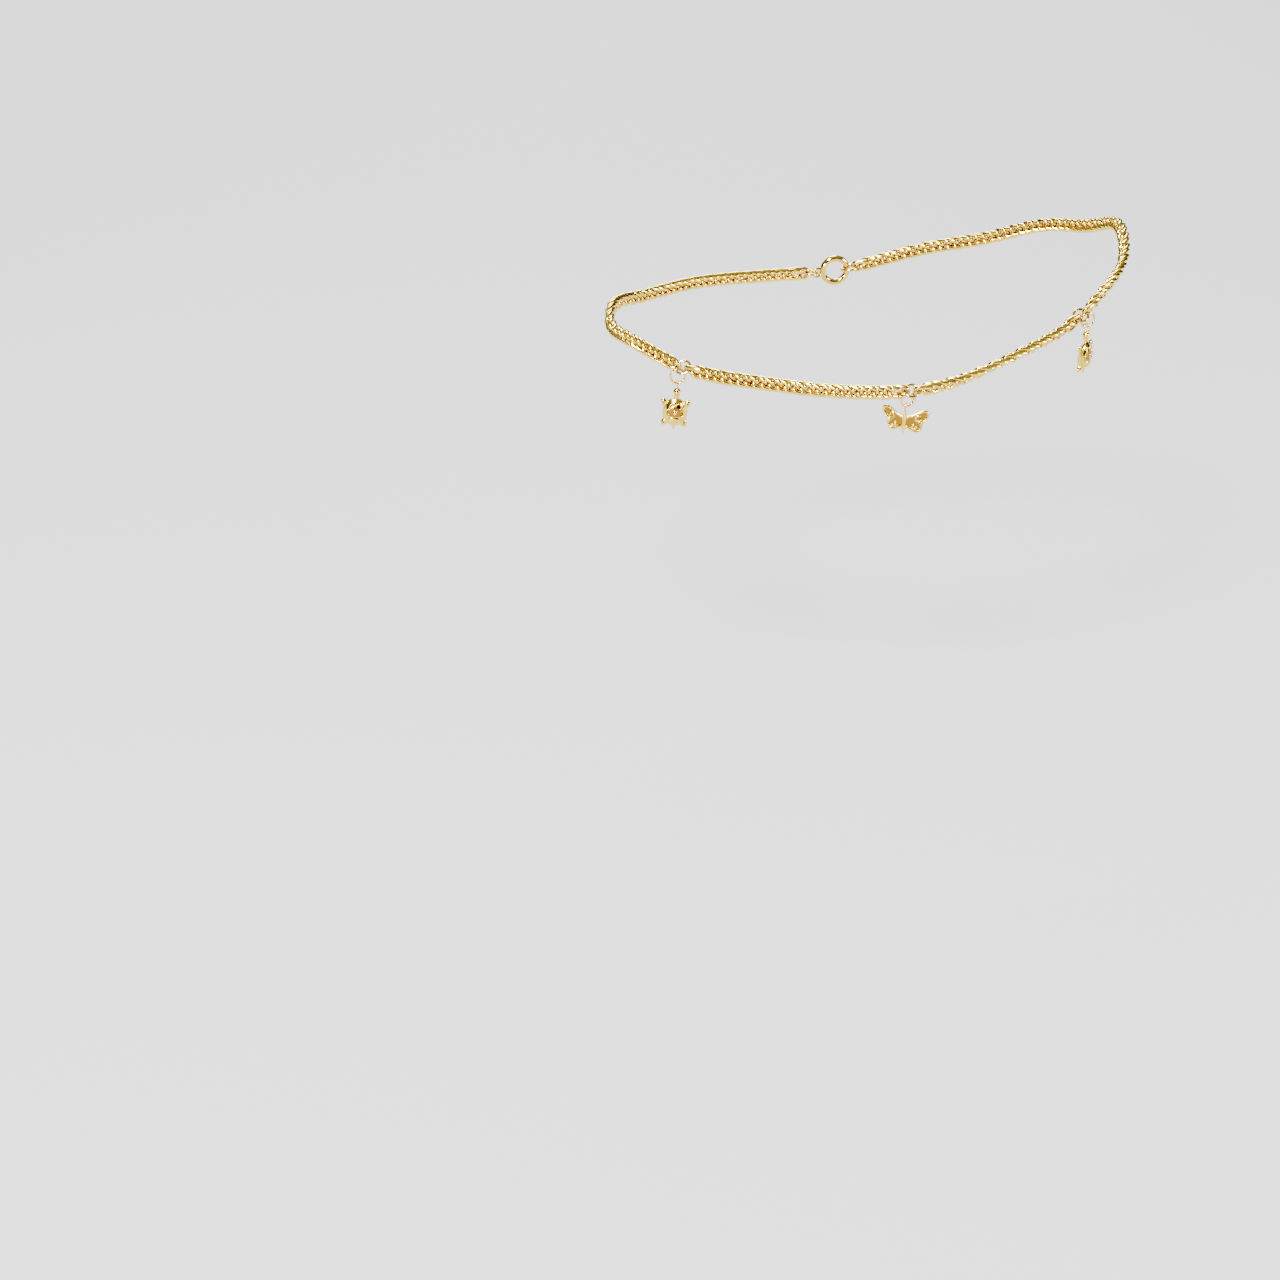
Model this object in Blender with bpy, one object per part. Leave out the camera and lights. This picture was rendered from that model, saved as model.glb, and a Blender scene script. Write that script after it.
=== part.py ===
# Charm anklet in gold-plated brass: flat curb chain, three joining rings, two turtles and a butterfly.
# Metres, +Z up the leg, +X to the heel, -Y to the side that carries the charms, origin in the middle of the loop.

import math
from collections import namedtuple

import bmesh
import bpy
import numpy as np
from mathutils import Matrix, Vector

MM = 0.001
UP = Vector((0, 0, 1))
# Points nearer than this are merged after a union
SLIVER = 0.02 * MM

# Loop
LOOP_HALF_LENGTH = 47.8 * MM
LOOP_HALF_WIDTH = 30.6 * MM
# Height of the chain above the origin at even steps from the heel round to the front of the ankle.
# Both sides of the ankle follow the same heights.
ROUTE_HEIGHTS = [11.0, 8.4, 6.4, 3.0, -0.2, -3.3, -5.4, -5.0, -4.0, -3.4, -2.1, -0.8, -1.2]
ROUTE_SAMPLES = 7200

# Chain
LINK_PITCH = 2.9 * MM
LINK_WIDTH = 2.45 * MM
LINK_WIRE = 0.7 * MM
LINK_THICKNESS = 0.44 * MM
LINK_BITE = 0.03 * MM
LINK_TWIST = 47
LINK_SIDES = 10
LINK_WIRE_SIDES = 5
WIRE_SIDES = 5

# Rings
JOINING_RING_OUTSIDE = 3.1 * MM
JOINING_RING_WIRE = 0.5 * MM
CHARM_RING_OUTSIDE = 3.0 * MM
CHARM_RING_WIRE = 0.4 * MM
RING_CLEARANCE = 0.08 * MM
CLASP_CLEARANCE = 0.18 * MM
RING_SIDES = 12

# Loops soldered on the charms
LOOP_OUTSIDE = 1.5 * MM
LOOP_HEIGHT = 1.75 * MM
LOOP_WIRE = 0.3 * MM
LOOP_CLEARANCE = 0.18 * MM
LOOP_SIDES = 10

# Clasp, on the side away from the charms
CLASP_OUTSIDE = 6.0 * MM
CLASP_TUBE = 1.2 * MM
EYE_OUTSIDE = 2.2 * MM
EYE_WIRE = 0.6 * MM
EYE_SINK = 0.55 * MM
CLASP_RING_OUTSIDE = 3.0 * MM
CLASP_RING_WIRE = 0.5 * MM
END_RING_OUTSIDE = 3.6 * MM
END_RING_WIRE = 0.6 * MM

# Turtle
TURTLE_HEAD_RADIUS = 0.67 * MM
TURTLE_NECK = 0.52 * MM
TURTLE_SHELL_WIDTH = 3.6 * MM
TURTLE_SHELL_LENGTH = 4.75 * MM
TURTLE_DOME = 0.95 * MM
TURTLE_BELLY = 0.35 * MM
TURTLE_BODY_WIDTH = 4.45 * MM
TURTLE_BODY_LENGTH = 5.35 * MM
TURTLE_BODY_THICKNESS = 0.8 * MM
TURTLE_TAIL = 0.7 * MM
FLIPPER_WIDTH = 1.1 * MM
FLIPPER_LENGTH = 1.5 * MM
FLIPPER_THICKNESS = 0.6 * MM
DIMPLE_RADIUS = 0.17 * MM
DIMPLE_DEPTH = 0.25 * MM
SCUTE_HEIGHT = 0.12 * MM

# Butterfly
WING_SPAN = 8.6 * MM
WING_HEIGHT = 4.0 * MM
WING_TIPS_UP = -0.9 * MM
WING_SWEEP = 18
WING_THICKNESS = 0.55 * MM
WING_RIM = 0.36 * MM
WING_RECESS = 0.18 * MM
BUTTERFLY_BODY_LENGTH = 5.0 * MM
BUTTERFLY_BODY_WIDTH = 0.8 * MM
SCROLL_WIRE = 0.3 * MM
SCROLL_SINK = 0.03 * MM

# Where each charm hangs, one row a charm, from the heel round. place is measured along the chain from the heel,
# droop is how far the joining ring dips outward and hang is where on it the charm ring sits. ring_turn is how the
# charm ring is turned from facing straight out of the loop, charm_turn how the charm is turned from it, swing how
# far round the ring the charm lies, and tilt how it leans.
Hanging = namedtuple("Hanging", "place droop hang slack aside ring_turn swing charm_turn tilt")
HANGINGS = {
    "rear": Hanging(29.0 * MM, 27, -27, 0.34 * MM, -0.12 * MM, -26, 0, 38, 2),
    "middle": Hanging(65.3 * MM, 32, 41, 0.22 * MM, -0.1 * MM, 11, -15, -38, 3),
    "front": Hanging(106.4 * MM, 40, 16, 0.14 * MM, 0.0 * MM, 35, 0, -8, 5),
}

# How the flat of each chain length lies at its start, middle and end, in degrees from upright.
Lie = namedtuple("Lie", "start middle end")
LIES = {
    "chain_back": Lie(0, 10, 25),
    "chain_butterfly_to_turtle": Lie(30, 64, 18),
    "chain_turtle_to_butterfly": Lie(-8, -8, -8),
    "chain_front": Lie(-8, -5, 0),
}

# Colour, roughness
GOLD = ((0.83, 0.60, 0.22), 0.16)


def new_collection(name):
    collection = bpy.data.collections.new(name)
    bpy.context.scene.collection.children.link(collection)
    return collection


def gold_material(name):
    material = bpy.data.materials.new(name)
    material.use_nodes = True
    shader = material.node_tree.nodes["Principled BSDF"]
    colour, roughness = GOLD
    shader.inputs["Base Color"].default_value = (*colour, 1)
    shader.inputs["Roughness"].default_value = roughness
    shader.inputs["Metallic"].default_value = 1
    return material


def mesh_object(name, mesh, collection, parent=None):
    piece = bpy.data.objects.new(name, mesh)
    collection.objects.link(piece)
    piece.parent = parent
    mesh.shade_smooth()
    mesh.set_sharp_from_angle(angle=math.radians(40))
    return piece


def make_cutter(piece):
    piece.hide_render = True
    piece.display_type = "WIRE"
    return piece


def finish(piece):
    piece.data.materials.append(gold_material(piece.name + "_gold"))
    return piece


def combine(piece, other, operation):
    cut = piece.modifiers.new(other.name, "BOOLEAN")
    cut.operation = operation
    cut.object = make_cutter(other)
    return piece


def fuse(piece, others, drilled=()):
    """One solid: the others joined on, and the drilled ones cut out. A weld clears the slivers where they met."""
    for other in others:
        combine(piece, other, "UNION")
    for other in drilled:
        combine(piece, other, "DIFFERENCE")
    piece.modifiers.new("weld", "WELD").merge_threshold = SLIVER
    return finish(piece)


def torus_mesh(name, ring_radius, wire_radius, sides, wire_sides=WIRE_SIDES):
    bpy.ops.mesh.primitive_torus_add(
        major_segments=sides,
        minor_segments=wire_sides,
        major_radius=ring_radius,
        minor_radius=wire_radius,
    )
    made = bpy.context.object
    mesh = made.data
    mesh.name = name
    bpy.data.objects.remove(made)
    return mesh


def ball_mesh(name, segments, rings):
    bm = bmesh.new()
    bmesh.ops.create_uvsphere(bm, u_segments=segments, v_segments=rings, radius=1)
    mesh = bpy.data.meshes.new(name)
    bm.to_mesh(mesh)
    bm.free()
    return mesh


def cone_mesh(name, sides, bottom_radius, top_radius, height):
    bm = bmesh.new()
    bmesh.ops.create_cone(
        bm,
        cap_ends=True,
        segments=sides,
        radius1=bottom_radius,
        radius2=top_radius,
        depth=height,
    )
    mesh = bpy.data.meshes.new(name)
    bm.to_mesh(mesh)
    bm.free()
    return mesh


# The route: an ellipse in plan, and heights as a sum of cosines through the chosen points.
def route_points():
    steps = len(ROUTE_HEIGHTS) - 1
    order = np.arange(steps + 1)
    waves = np.cos(np.outer(order * math.pi / steps, order))
    weights = np.linalg.solve(waves, np.array(ROUTE_HEIGHTS) * MM)
    turn = np.linspace(0, 2 * math.pi, ROUTE_SAMPLES + 1)
    heights = np.cos(np.outer(turn, order)) @ weights
    return np.column_stack(
        [LOOP_HALF_LENGTH * np.cos(turn), -LOOP_HALF_WIDTH * np.sin(turn), heights]
    )


ROUTE = route_points()
ALONG = np.concatenate([[0], np.cumsum(np.linalg.norm(np.diff(ROUTE, axis=0), axis=1))])
LOOP_LENGTH = ALONG[-1]

Spot = namedtuple("Spot", "at along out up")


def point_at(distance):
    distance = distance % LOOP_LENGTH
    return Vector([float(np.interp(distance, ALONG, ROUTE[:, axis])) for axis in range(3)])


def spot_at(distance):
    """The chain's place at a distance from the heel, with its direction, the way out from the leg, and the way up."""
    at = point_at(distance)
    along = (point_at(distance + 0.1 * MM) - point_at(distance - 0.1 * MM)).normalized()
    out = Vector((-along.y, along.x, 0)).normalized()
    return Spot(at, along, out, along.cross(out))


def ring_object(name, centre, first, second, outside, wire, sides, collection, parent=None):
    """A ring of round wire in the plane of two directions."""
    mesh = torus_mesh(name, (outside - wire) / 2, wire / 2, sides)
    normal = first.cross(second)
    turn = Matrix((first, second, normal)).transposed().to_4x4()
    ring = mesh_object(name, mesh, collection, parent)
    ring.matrix_local = Matrix.Translation(centre) @ turn
    return ring


# A link is an oval of flat wire, twisted along its length so that its ends cross their neighbours. It has the width
# of the real double curb chain, and stands for two of its links.
def link_template():
    mesh = torus_mesh("link_template", 1, 0.5, LINK_SIDES, LINK_WIRE_SIDES)
    around = []
    for vertex in mesh.vertices:
        x, y, z = vertex.co
        turn = math.atan2(y, x)
        section = math.atan2(z, math.hypot(x, y) - 1)
        around.append((turn, section))
    faces = [tuple(polygon.vertices) for polygon in mesh.polygons]
    bpy.data.meshes.remove(mesh)
    return around, faces


LINK_AROUND, LINK_FACES = link_template()


def link_points(spot, half_length, start_turn, end_turn):
    """One link's vertices: half_length to the middle of its end wires, and the turn of its plane at each end.
    Its wire has a corner outward and a flat inward, where the next link bears."""
    bend = (LINK_WIDTH - LINK_WIRE) / 2
    straight = half_length - bend
    inner = math.cos(math.pi / LINK_WIRE_SIDES)
    points = []
    for turn, section in LINK_AROUND:
        radial = (math.cos(section) - (1 - inner) / 2) * LINK_WIRE / (1 + inner)
        x = math.copysign(straight, math.cos(turn)) if abs(math.cos(turn)) > 1e-6 else 0
        x += math.cos(turn) * (bend + radial)
        y = math.sin(turn) * (bend + radial)
        z = math.sin(section) * LINK_THICKNESS / 2
        share = min(max((x / half_length + 1) / 2, 0), 1)
        angle = math.radians(start_turn + (end_turn - start_turn) * share)
        across = math.cos(angle) * spot.up + math.sin(angle) * spot.out
        normal = -math.sin(angle) * spot.up + math.cos(angle) * spot.out
        points.append(spot.at + x * spot.along + y * across + z * normal)
    return points


def nearest_half_turn(angle, wanted):
    return angle + 180 * round((wanted - angle) / 180)


def add_chain(name, start, end, start_hook, end_hook):
    """A length of curb chain. start and end are the middles of the end wires that hook its rings, along the route,
    and the hooks are the turns that put those wires square to their rings."""
    lie = LIES[name]
    crossing = LINK_WIRE - LINK_BITE
    count = round((end - start - crossing) / LINK_PITCH)
    pitch = (end - start - crossing) / count
    half_length = (pitch + crossing) / 2
    sets = ([], [])
    for index in range(count):
        share = index / (count - 1)
        if share < 0.5:
            roll = lie.start + (lie.middle - lie.start) * share * 2
        else:
            roll = lie.middle + (lie.end - lie.middle) * (share * 2 - 1)
        start_turn = roll + LINK_TWIST
        end_turn = roll - LINK_TWIST
        if index == 0:
            start_turn = nearest_half_turn(start_hook, roll)
        if index == count - 1:
            end_turn = nearest_half_turn(end_hook, roll)
        spot = spot_at(start + half_length + index * pitch)
        sets[index % 2].append(link_points(spot, half_length, start_turn, end_turn))
    halves = []
    for half_name, collection, links in (
        (name, PARTS, sets[0]),
        (name + "_between", CUTTERS, sets[1]),
    ):
        points = []
        faces = []
        for link in links:
            faces += [[len(points) + corner for corner in face] for face in LINK_FACES]
            points += link
        mesh = bpy.data.meshes.new(half_name)
        mesh.from_pydata(points, [], faces)
        halves.append(mesh_object(half_name, mesh, collection))
    return fuse(halves[0], [halves[1]])


# How far from a ring's centre the middle of a link's end wire sits when it hangs inside the ring.
def hook_distance(outside, wire):
    return outside / 2 - wire - LINK_WIRE / 2 - RING_CLEARANCE


# A joining ring lies across the chain and dips outward. Its charm ring hangs upright from its wire.
def add_hanging(label, hanging):
    spot = spot_at(hanging.place)
    dip = math.radians(hanging.droop)
    outward = math.cos(dip) * spot.out - math.sin(dip) * spot.up
    ring_object(
        "joining_ring_" + label,
        spot.at,
        spot.along,
        outward,
        JOINING_RING_OUTSIDE,
        JOINING_RING_WIRE,
        RING_SIDES,
        PARTS,
    )
    finish(bpy.data.objects["joining_ring_" + label])
    angle = math.radians(hanging.hang)
    wire_spot = spot.at + (JOINING_RING_OUTSIDE - JOINING_RING_WIRE) / 2 * (
        math.cos(angle) * outward + math.sin(angle) * spot.along
    )
    facing = math.atan2(spot.out.y, spot.out.x) + math.radians(hanging.ring_turn)
    normal = Vector((math.cos(facing), math.sin(facing), 0))
    charm_radius = (CHARM_RING_OUTSIDE - CHARM_RING_WIRE) / 2
    drop = charm_radius - (JOINING_RING_WIRE + CHARM_RING_WIRE) / 2 - hanging.slack
    centre = wire_spot - drop * UP + hanging.aside * normal
    ring_object(
        "charm_ring_" + label,
        centre,
        UP.cross(normal),
        UP,
        CHARM_RING_OUTSIDE,
        CHARM_RING_WIRE,
        RING_SIDES,
        PARTS,
    )
    finish(bpy.data.objects["charm_ring_" + label])
    holder = bpy.data.objects.new("charm_holder_" + label, None)
    PARTS.objects.link(holder)
    charm_facing = facing + math.radians(hanging.charm_turn + 90)
    swing = math.radians(hanging.swing)
    lowest = math.sin(swing) * UP.cross(normal) - math.cos(swing) * UP
    holder.matrix_world = (
        Matrix.Translation(centre + charm_radius * lowest)
        @ Matrix.Rotation(charm_facing, 4, "Z")
        @ Matrix.Rotation(math.radians(hanging.tilt), 4, "Y")
    )
    return holder


# In a charm's own frame the middle of the charm ring's lowest wire is the origin, -Y is the face and Z is up.
LOOP_RADIUS = (LOOP_OUTSIDE - LOOP_WIRE) / 2
LOOP_CENTRE_DOWN = LOOP_RADIUS - (LOOP_WIRE + CHARM_RING_WIRE) / 2 - LOOP_CLEARANCE
LOOP_STRETCH = LOOP_HEIGHT - LOOP_OUTSIDE
LOOP_BOTTOM_DOWN = LOOP_CENTRE_DOWN + LOOP_RADIUS + LOOP_STRETCH


def add_loop(name, holder):
    """A ring drawn out to a taller loop: its lower half is moved down."""
    loop = ring_object(
        name,
        Vector((0, 0, -LOOP_CENTRE_DOWN)),
        Vector((0, 1, 0)),
        UP,
        LOOP_OUTSIDE,
        LOOP_WIRE,
        LOOP_SIDES,
        CUTTERS,
        holder,
    )
    for vertex in loop.data.vertices:
        if vertex.co.y < -LOOP_WIRE / 100:
            vertex.co.y -= LOOP_STRETCH
    return loop


def add_ball(name, holder, centre, size, segments=10, rings=6, turn=0):
    """An ellipsoid: size is half its extent along each axis, and turn leans it in the charm's face."""
    mesh = ball_mesh(name, segments, rings)
    mesh.transform(Matrix.Diagonal((*size, 1)))
    ball = mesh_object(name, mesh, CUTTERS, holder)
    ball.matrix_local = Matrix.Translation(centre) @ Matrix.Rotation(math.radians(turn), 4, "Y")
    return ball


def add_disc(name, holder, centre, bottom_radius, top_radius, height, sides=8, stretch=1):
    """A disc or a frustum whose top faces the front."""
    mesh = cone_mesh(name, sides, bottom_radius, top_radius, height)
    mesh.transform(Matrix.Rotation(math.radians(90), 4, "X"))
    mesh.transform(Matrix.Diagonal((1, 1, stretch, 1)))
    disc = mesh_object(name, mesh, CUTTERS, holder)
    disc.matrix_local = Matrix.Translation(centre)
    return disc


# Turtle. Rows of the tables hold shares of the body's half width and of its length below the head.
Flipper = namedtuple("Flipper", "across down lean")
FLIPPERS = {"fore": Flipper(0.92, 0.17, 28), "hind": Flipper(0.76, 0.87, -30)}
Scute = namedtuple("Scute", "across down radius stretch")
SCUTES = [
    Scute(-0.24, 0.25, 0.26, 1),
    Scute(0.26, 0.25, 0.26, 1),
    Scute(-0.50, 0.47, 0.24, 1),
    Scute(0.02, 0.46, 0.22, 1),
    Scute(0.50, 0.48, 0.26, 1),
    Scute(0.0, 0.74, 0.48, 0.62),
]


def add_turtle(name, holder):
    head_down = LOOP_BOTTOM_DOWN + TURTLE_HEAD_RADIUS * 1.05
    body_top = head_down + TURTLE_HEAD_RADIUS + TURTLE_NECK
    body_middle = body_top + TURTLE_BODY_LENGTH / 2
    half_width = TURTLE_BODY_WIDTH / 2
    body = add_ball(
        name,
        holder,
        Vector((0, 0, -body_middle)),
        (half_width, TURTLE_BODY_THICKNESS / 2, TURTLE_BODY_LENGTH / 2),
        14,
        4,
    )
    CUTTERS.objects.unlink(body)
    PARTS.objects.link(body)
    shell_size = (TURTLE_SHELL_WIDTH / 2, TURTLE_DOME, TURTLE_SHELL_LENGTH / 2)
    shell_middle = Vector((0, -TURTLE_BELLY / 2, -body_middle))
    pieces = [
        add_ball(name + "_shell", holder, shell_middle, shell_size, 12, 6),
        add_ball(
            name + "_head",
            holder,
            Vector((0, 0, -head_down)),
            (TURTLE_HEAD_RADIUS,) * 3,
            8,
            6,
        ),
        add_ball(
            name + "_neck",
            holder,
            Vector((0, 0, -(head_down + body_top) / 2)),
            (TURTLE_NECK, TURTLE_NECK * 0.8, (body_top - head_down) * 0.7),
            8,
            4,
        ),
        add_ball(
            name + "_tail",
            holder,
            Vector((0, 0, -body_top - TURTLE_BODY_LENGTH)),
            (TURTLE_TAIL * 0.4, TURTLE_TAIL * 0.4, TURTLE_TAIL),
            8,
            4,
        ),
        add_loop(name + "_loop", holder),
    ]
    dimples = []
    for flipper_name, flipper in FLIPPERS.items():
        for side in (-1, 1):
            label = f"{name}_{flipper_name}_{'right' if side > 0 else 'left'}"
            middle = Vector(
                (side * flipper.across * half_width, 0, -body_top - flipper.down * TURTLE_BODY_LENGTH)
            )
            size = (FLIPPER_WIDTH / 2, FLIPPER_THICKNESS / 2, FLIPPER_LENGTH / 2)
            pieces.append(add_ball(label, holder, middle, size, 6, 4, side * flipper.lean))
            at = middle + Vector((side * FLIPPER_WIDTH * 0.1, -FLIPPER_THICKNESS / 2, 0))
            dimples.append(
                add_disc(label + "_dimple", holder, at, DIMPLE_RADIUS, DIMPLE_RADIUS, 2 * DIMPLE_DEPTH, 5)
            )
    for number, scute in enumerate(SCUTES):
        across = scute.across * half_width
        down = scute.down * TURTLE_BODY_LENGTH
        reach = (across / shell_size[0]) ** 2 + ((down + body_top - body_middle) / shell_size[2]) ** 2
        front = shell_middle.y - TURTLE_DOME * math.sqrt(max(1 - reach, 0.1))
        radius = scute.radius * half_width
        centre = Vector((across, front, -body_top - down))
        pieces.append(
            add_disc(
                f"{name}_scute_{number}",
                holder,
                centre,
                radius,
                radius * 0.75,
                2 * SCUTE_HEIGHT,
                6,
                scute.stretch,
            )
        )
    return fuse(body, pieces, dimples)


# Butterfly. The right wings' outline and its scrolls: shares of the half span, and of the height below the wing tips.
WING_OUTLINE = [
    (0.03, 0.36),
    (0.30, 0.24),
    (0.60, 0.08),
    (0.78, 0.00),
    (0.92, 0.01),
    (1.00, 0.10),
    (0.99, 0.23),
    (0.89, 0.42),
    (0.76, 0.56),
    (0.67, 0.62),
    (0.73, 0.70),
    (0.74, 0.80),
    (0.68, 0.92),
    (0.55, 1.00),
    (0.39, 0.98),
    (0.23, 0.86),
    (0.03, 0.72),
]
Scroll = namedtuple("Scroll", "across down radius start turns")
SCROLLS = {"upper": Scroll(0.58, 0.37, 0.15, 60, 0.85), "lower": Scroll(0.44, 0.76, 0.11, 100, 0.75)}
SCROLL_POINTS = 8
SCROLL_SHRINK = 0.35


def wing_turn(side):
    return Matrix.Rotation(math.radians(side * WING_SWEEP), 4, "Z")


def add_wing(name, holder, side):
    half_span = WING_SPAN / 2
    bm = bmesh.new()
    corners = [
        bm.verts.new((side * across * half_span, -WING_THICKNESS / 2, WING_TIPS_UP - down * WING_HEIGHT))
        for across, down in WING_OUTLINE
    ]
    front = bm.faces.new(corners)
    back = bmesh.ops.extrude_face_region(bm, geom=[front])
    moved = [item for item in back["geom"] if isinstance(item, bmesh.types.BMVert)]
    bmesh.ops.translate(bm, verts=moved, vec=(0, WING_THICKNESS, 0))
    bmesh.ops.recalc_face_normals(bm, faces=bm.faces)
    bm.faces.ensure_lookup_table()
    front = min(bm.faces, key=lambda face: face.calc_center_median().y)
    bmesh.ops.inset_region(
        bm, faces=[front], thickness=WING_RIM, depth=-WING_RECESS, use_even_offset=True
    )
    mesh = bpy.data.meshes.new(name)
    bm.to_mesh(mesh)
    bm.free()
    mesh.transform(wing_turn(side))
    return mesh_object(name, mesh, CUTTERS, holder)


def add_scroll(name, holder, side, scroll):
    half_span = WING_SPAN / 2
    curve = bpy.data.curves.new(name, "CURVE")
    curve.dimensions = "3D"
    curve.bevel_depth = SCROLL_WIRE / 2
    curve.bevel_resolution = 1
    curve.use_fill_caps = True
    line = curve.splines.new("POLY")
    line.points.add(SCROLL_POINTS - 1)
    for index, point in enumerate(line.points):
        share = index / (SCROLL_POINTS - 1)
        angle = math.radians(scroll.start + 360 * scroll.turns * share)
        radius = scroll.radius * half_span * (1 - SCROLL_SHRINK * share)
        across = scroll.across * half_span + radius * math.cos(angle)
        height = WING_TIPS_UP - scroll.down * WING_HEIGHT + radius * math.sin(angle)
        point.co = (side * across, -WING_THICKNESS / 2 + WING_RECESS + SCROLL_SINK, height, 1)
    drawn = bpy.data.objects.new(name + "_line", curve)
    CUTTERS.objects.link(drawn)
    bpy.context.view_layer.update()
    mesh = bpy.data.meshes.new_from_object(
        drawn.evaluated_get(bpy.context.evaluated_depsgraph_get())
    )
    bpy.data.objects.remove(drawn)
    bm = bmesh.new()
    bm.from_mesh(mesh)
    bmesh.ops.remove_doubles(bm, verts=bm.verts, dist=0.001 * MM)
    bmesh.ops.recalc_face_normals(bm, faces=bm.faces)
    bm.to_mesh(mesh)
    bm.free()
    mesh.transform(wing_turn(side))
    return mesh_object(name, mesh, CUTTERS, holder)


def add_butterfly(name, holder):
    body_top = LOOP_BOTTOM_DOWN - LOOP_WIRE / 2
    width = BUTTERFLY_BODY_WIDTH / 2
    body = add_ball(
        name,
        holder,
        Vector((0, 0, -body_top - BUTTERFLY_BODY_LENGTH / 2)),
        (width, width, BUTTERFLY_BODY_LENGTH / 2),
        8,
        10,
    )
    CUTTERS.objects.unlink(body)
    PARTS.objects.link(body)
    pieces = [add_loop(name + "_loop", holder)]
    for side in (-1, 1):
        label = "right" if side > 0 else "left"
        pieces.append(add_wing(f"{name}_wing_{label}", holder, side))
        for scroll_name, scroll in SCROLLS.items():
            pieces.append(
                add_scroll(f"{name}_scroll_{scroll_name}_{label}", holder, side, scroll)
            )
    return fuse(body, pieces)


# The clasp is a plain round spring ring with its eye soldered on, and lies flat along the leg.
def add_clasp(place):
    spot = spot_at(place)
    clasp = ring_object(
        "clasp", spot.at, spot.along, spot.up, CLASP_OUTSIDE, CLASP_TUBE, RING_SIDES, PARTS
    )
    eye_place = -(CLASP_OUTSIDE / 2 + EYE_SINK)
    eye = ring_object(
        "clasp_eye",
        spot.at + eye_place * spot.along,
        spot.along,
        spot.up,
        EYE_OUTSIDE,
        EYE_WIRE,
        LOOP_SIDES,
        CUTTERS,
    )
    fuse(clasp, [eye])
    eye_wire = eye_place - (EYE_OUTSIDE - EYE_WIRE) / 2
    ring_centre = (
        eye_wire
        + (EYE_WIRE + CLASP_RING_WIRE) / 2
        + CLASP_CLEARANCE
        - (CLASP_RING_OUTSIDE - CLASP_RING_WIRE) / 2
    )
    clasp_wire = (CLASP_OUTSIDE - CLASP_TUBE) / 2
    end_centre = (
        clasp_wire
        - (CLASP_TUBE + END_RING_WIRE) / 2
        - RING_CLEARANCE
        + (END_RING_OUTSIDE - END_RING_WIRE) / 2
    )
    for name, centre, outside, wire in (
        ("clasp_ring", ring_centre, CLASP_RING_OUTSIDE, CLASP_RING_WIRE),
        ("end_ring", end_centre, END_RING_OUTSIDE, END_RING_WIRE),
    ):
        beside = spot_at(place + centre)
        finish(
            ring_object(
                name, beside.at, beside.along, beside.out, outside, wire, RING_SIDES, PARTS
            )
        )
    before = place + ring_centre - hook_distance(CLASP_RING_OUTSIDE, CLASP_RING_WIRE)
    after = place + end_centre + hook_distance(END_RING_OUTSIDE, END_RING_WIRE)
    return before, after


for old in list(bpy.data.objects):
    bpy.data.objects.remove(old, do_unlink=True)
PARTS = new_collection("Charm anklet")
CUTTERS = new_collection("Cutters")

holders = {label: add_hanging(label, hanging) for label, hanging in HANGINGS.items()}
bpy.context.view_layer.update()
add_turtle("turtle_charm_front", holders["front"])
add_butterfly("butterfly_charm", holders["middle"])
add_turtle("turtle_charm_rear", holders["rear"])

opposite = HANGINGS["middle"].place + LOOP_LENGTH / 2
clasp_before, clasp_after = add_clasp(opposite)
reach = hook_distance(JOINING_RING_OUTSIDE, JOINING_RING_WIRE)
rear, middle, front = (HANGINGS[label] for label in ("rear", "middle", "front"))
add_chain("chain_back", clasp_after, LOOP_LENGTH + rear.place - reach, 0, rear.droop)
add_chain(
    "chain_butterfly_to_turtle", rear.place + reach, middle.place - reach, rear.droop, middle.droop
)
add_chain(
    "chain_turtle_to_butterfly", middle.place + reach, front.place - reach, middle.droop, front.droop
)
add_chain("chain_front", front.place + reach, clasp_before, front.droop, 0)
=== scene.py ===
import math

import bpy
from mathutils import Matrix, Vector


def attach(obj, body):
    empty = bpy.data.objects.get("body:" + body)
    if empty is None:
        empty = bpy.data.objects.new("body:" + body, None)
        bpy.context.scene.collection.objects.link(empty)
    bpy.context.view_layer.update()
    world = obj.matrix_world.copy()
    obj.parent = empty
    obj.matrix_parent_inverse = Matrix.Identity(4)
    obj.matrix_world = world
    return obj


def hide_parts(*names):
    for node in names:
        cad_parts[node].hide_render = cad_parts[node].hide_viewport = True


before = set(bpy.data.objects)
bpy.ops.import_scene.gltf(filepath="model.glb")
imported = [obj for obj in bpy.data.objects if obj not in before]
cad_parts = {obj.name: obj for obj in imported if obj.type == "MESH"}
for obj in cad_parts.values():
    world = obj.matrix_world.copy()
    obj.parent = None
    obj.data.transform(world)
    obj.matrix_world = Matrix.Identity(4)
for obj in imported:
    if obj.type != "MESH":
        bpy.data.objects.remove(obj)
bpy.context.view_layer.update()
MM = 0.001
UP = Vector((0, 0, 1))


# The view: a long lens from the side that carries the charms, a little toward the loop's front end and
# looking down on it.
VIEW_FROM = Vector((-136.3, -440.6, 173.5)) * MM
VIEW_ALONG = Vector((0.1836, 0.8637, -0.4695))
VIEW_RIGHT = Vector((0.9781, -0.2079, 0))
LENS = 74.5

camera_data = bpy.data.cameras.new("camera")
camera_data.lens = LENS
camera_data.sensor_width = 36
camera_data.clip_start = 0.01
camera_data.clip_end = 20
camera = bpy.data.objects.new("camera", camera_data)
bpy.context.scene.collection.objects.link(camera)
back = -VIEW_ALONG.normalized()
right = VIEW_RIGHT.normalized()
camera.matrix_world = Matrix.Translation(VIEW_FROM) @ Matrix(
    (right, back.cross(right), back)
).transposed().to_4x4()
bpy.context.scene.camera = camera


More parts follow.
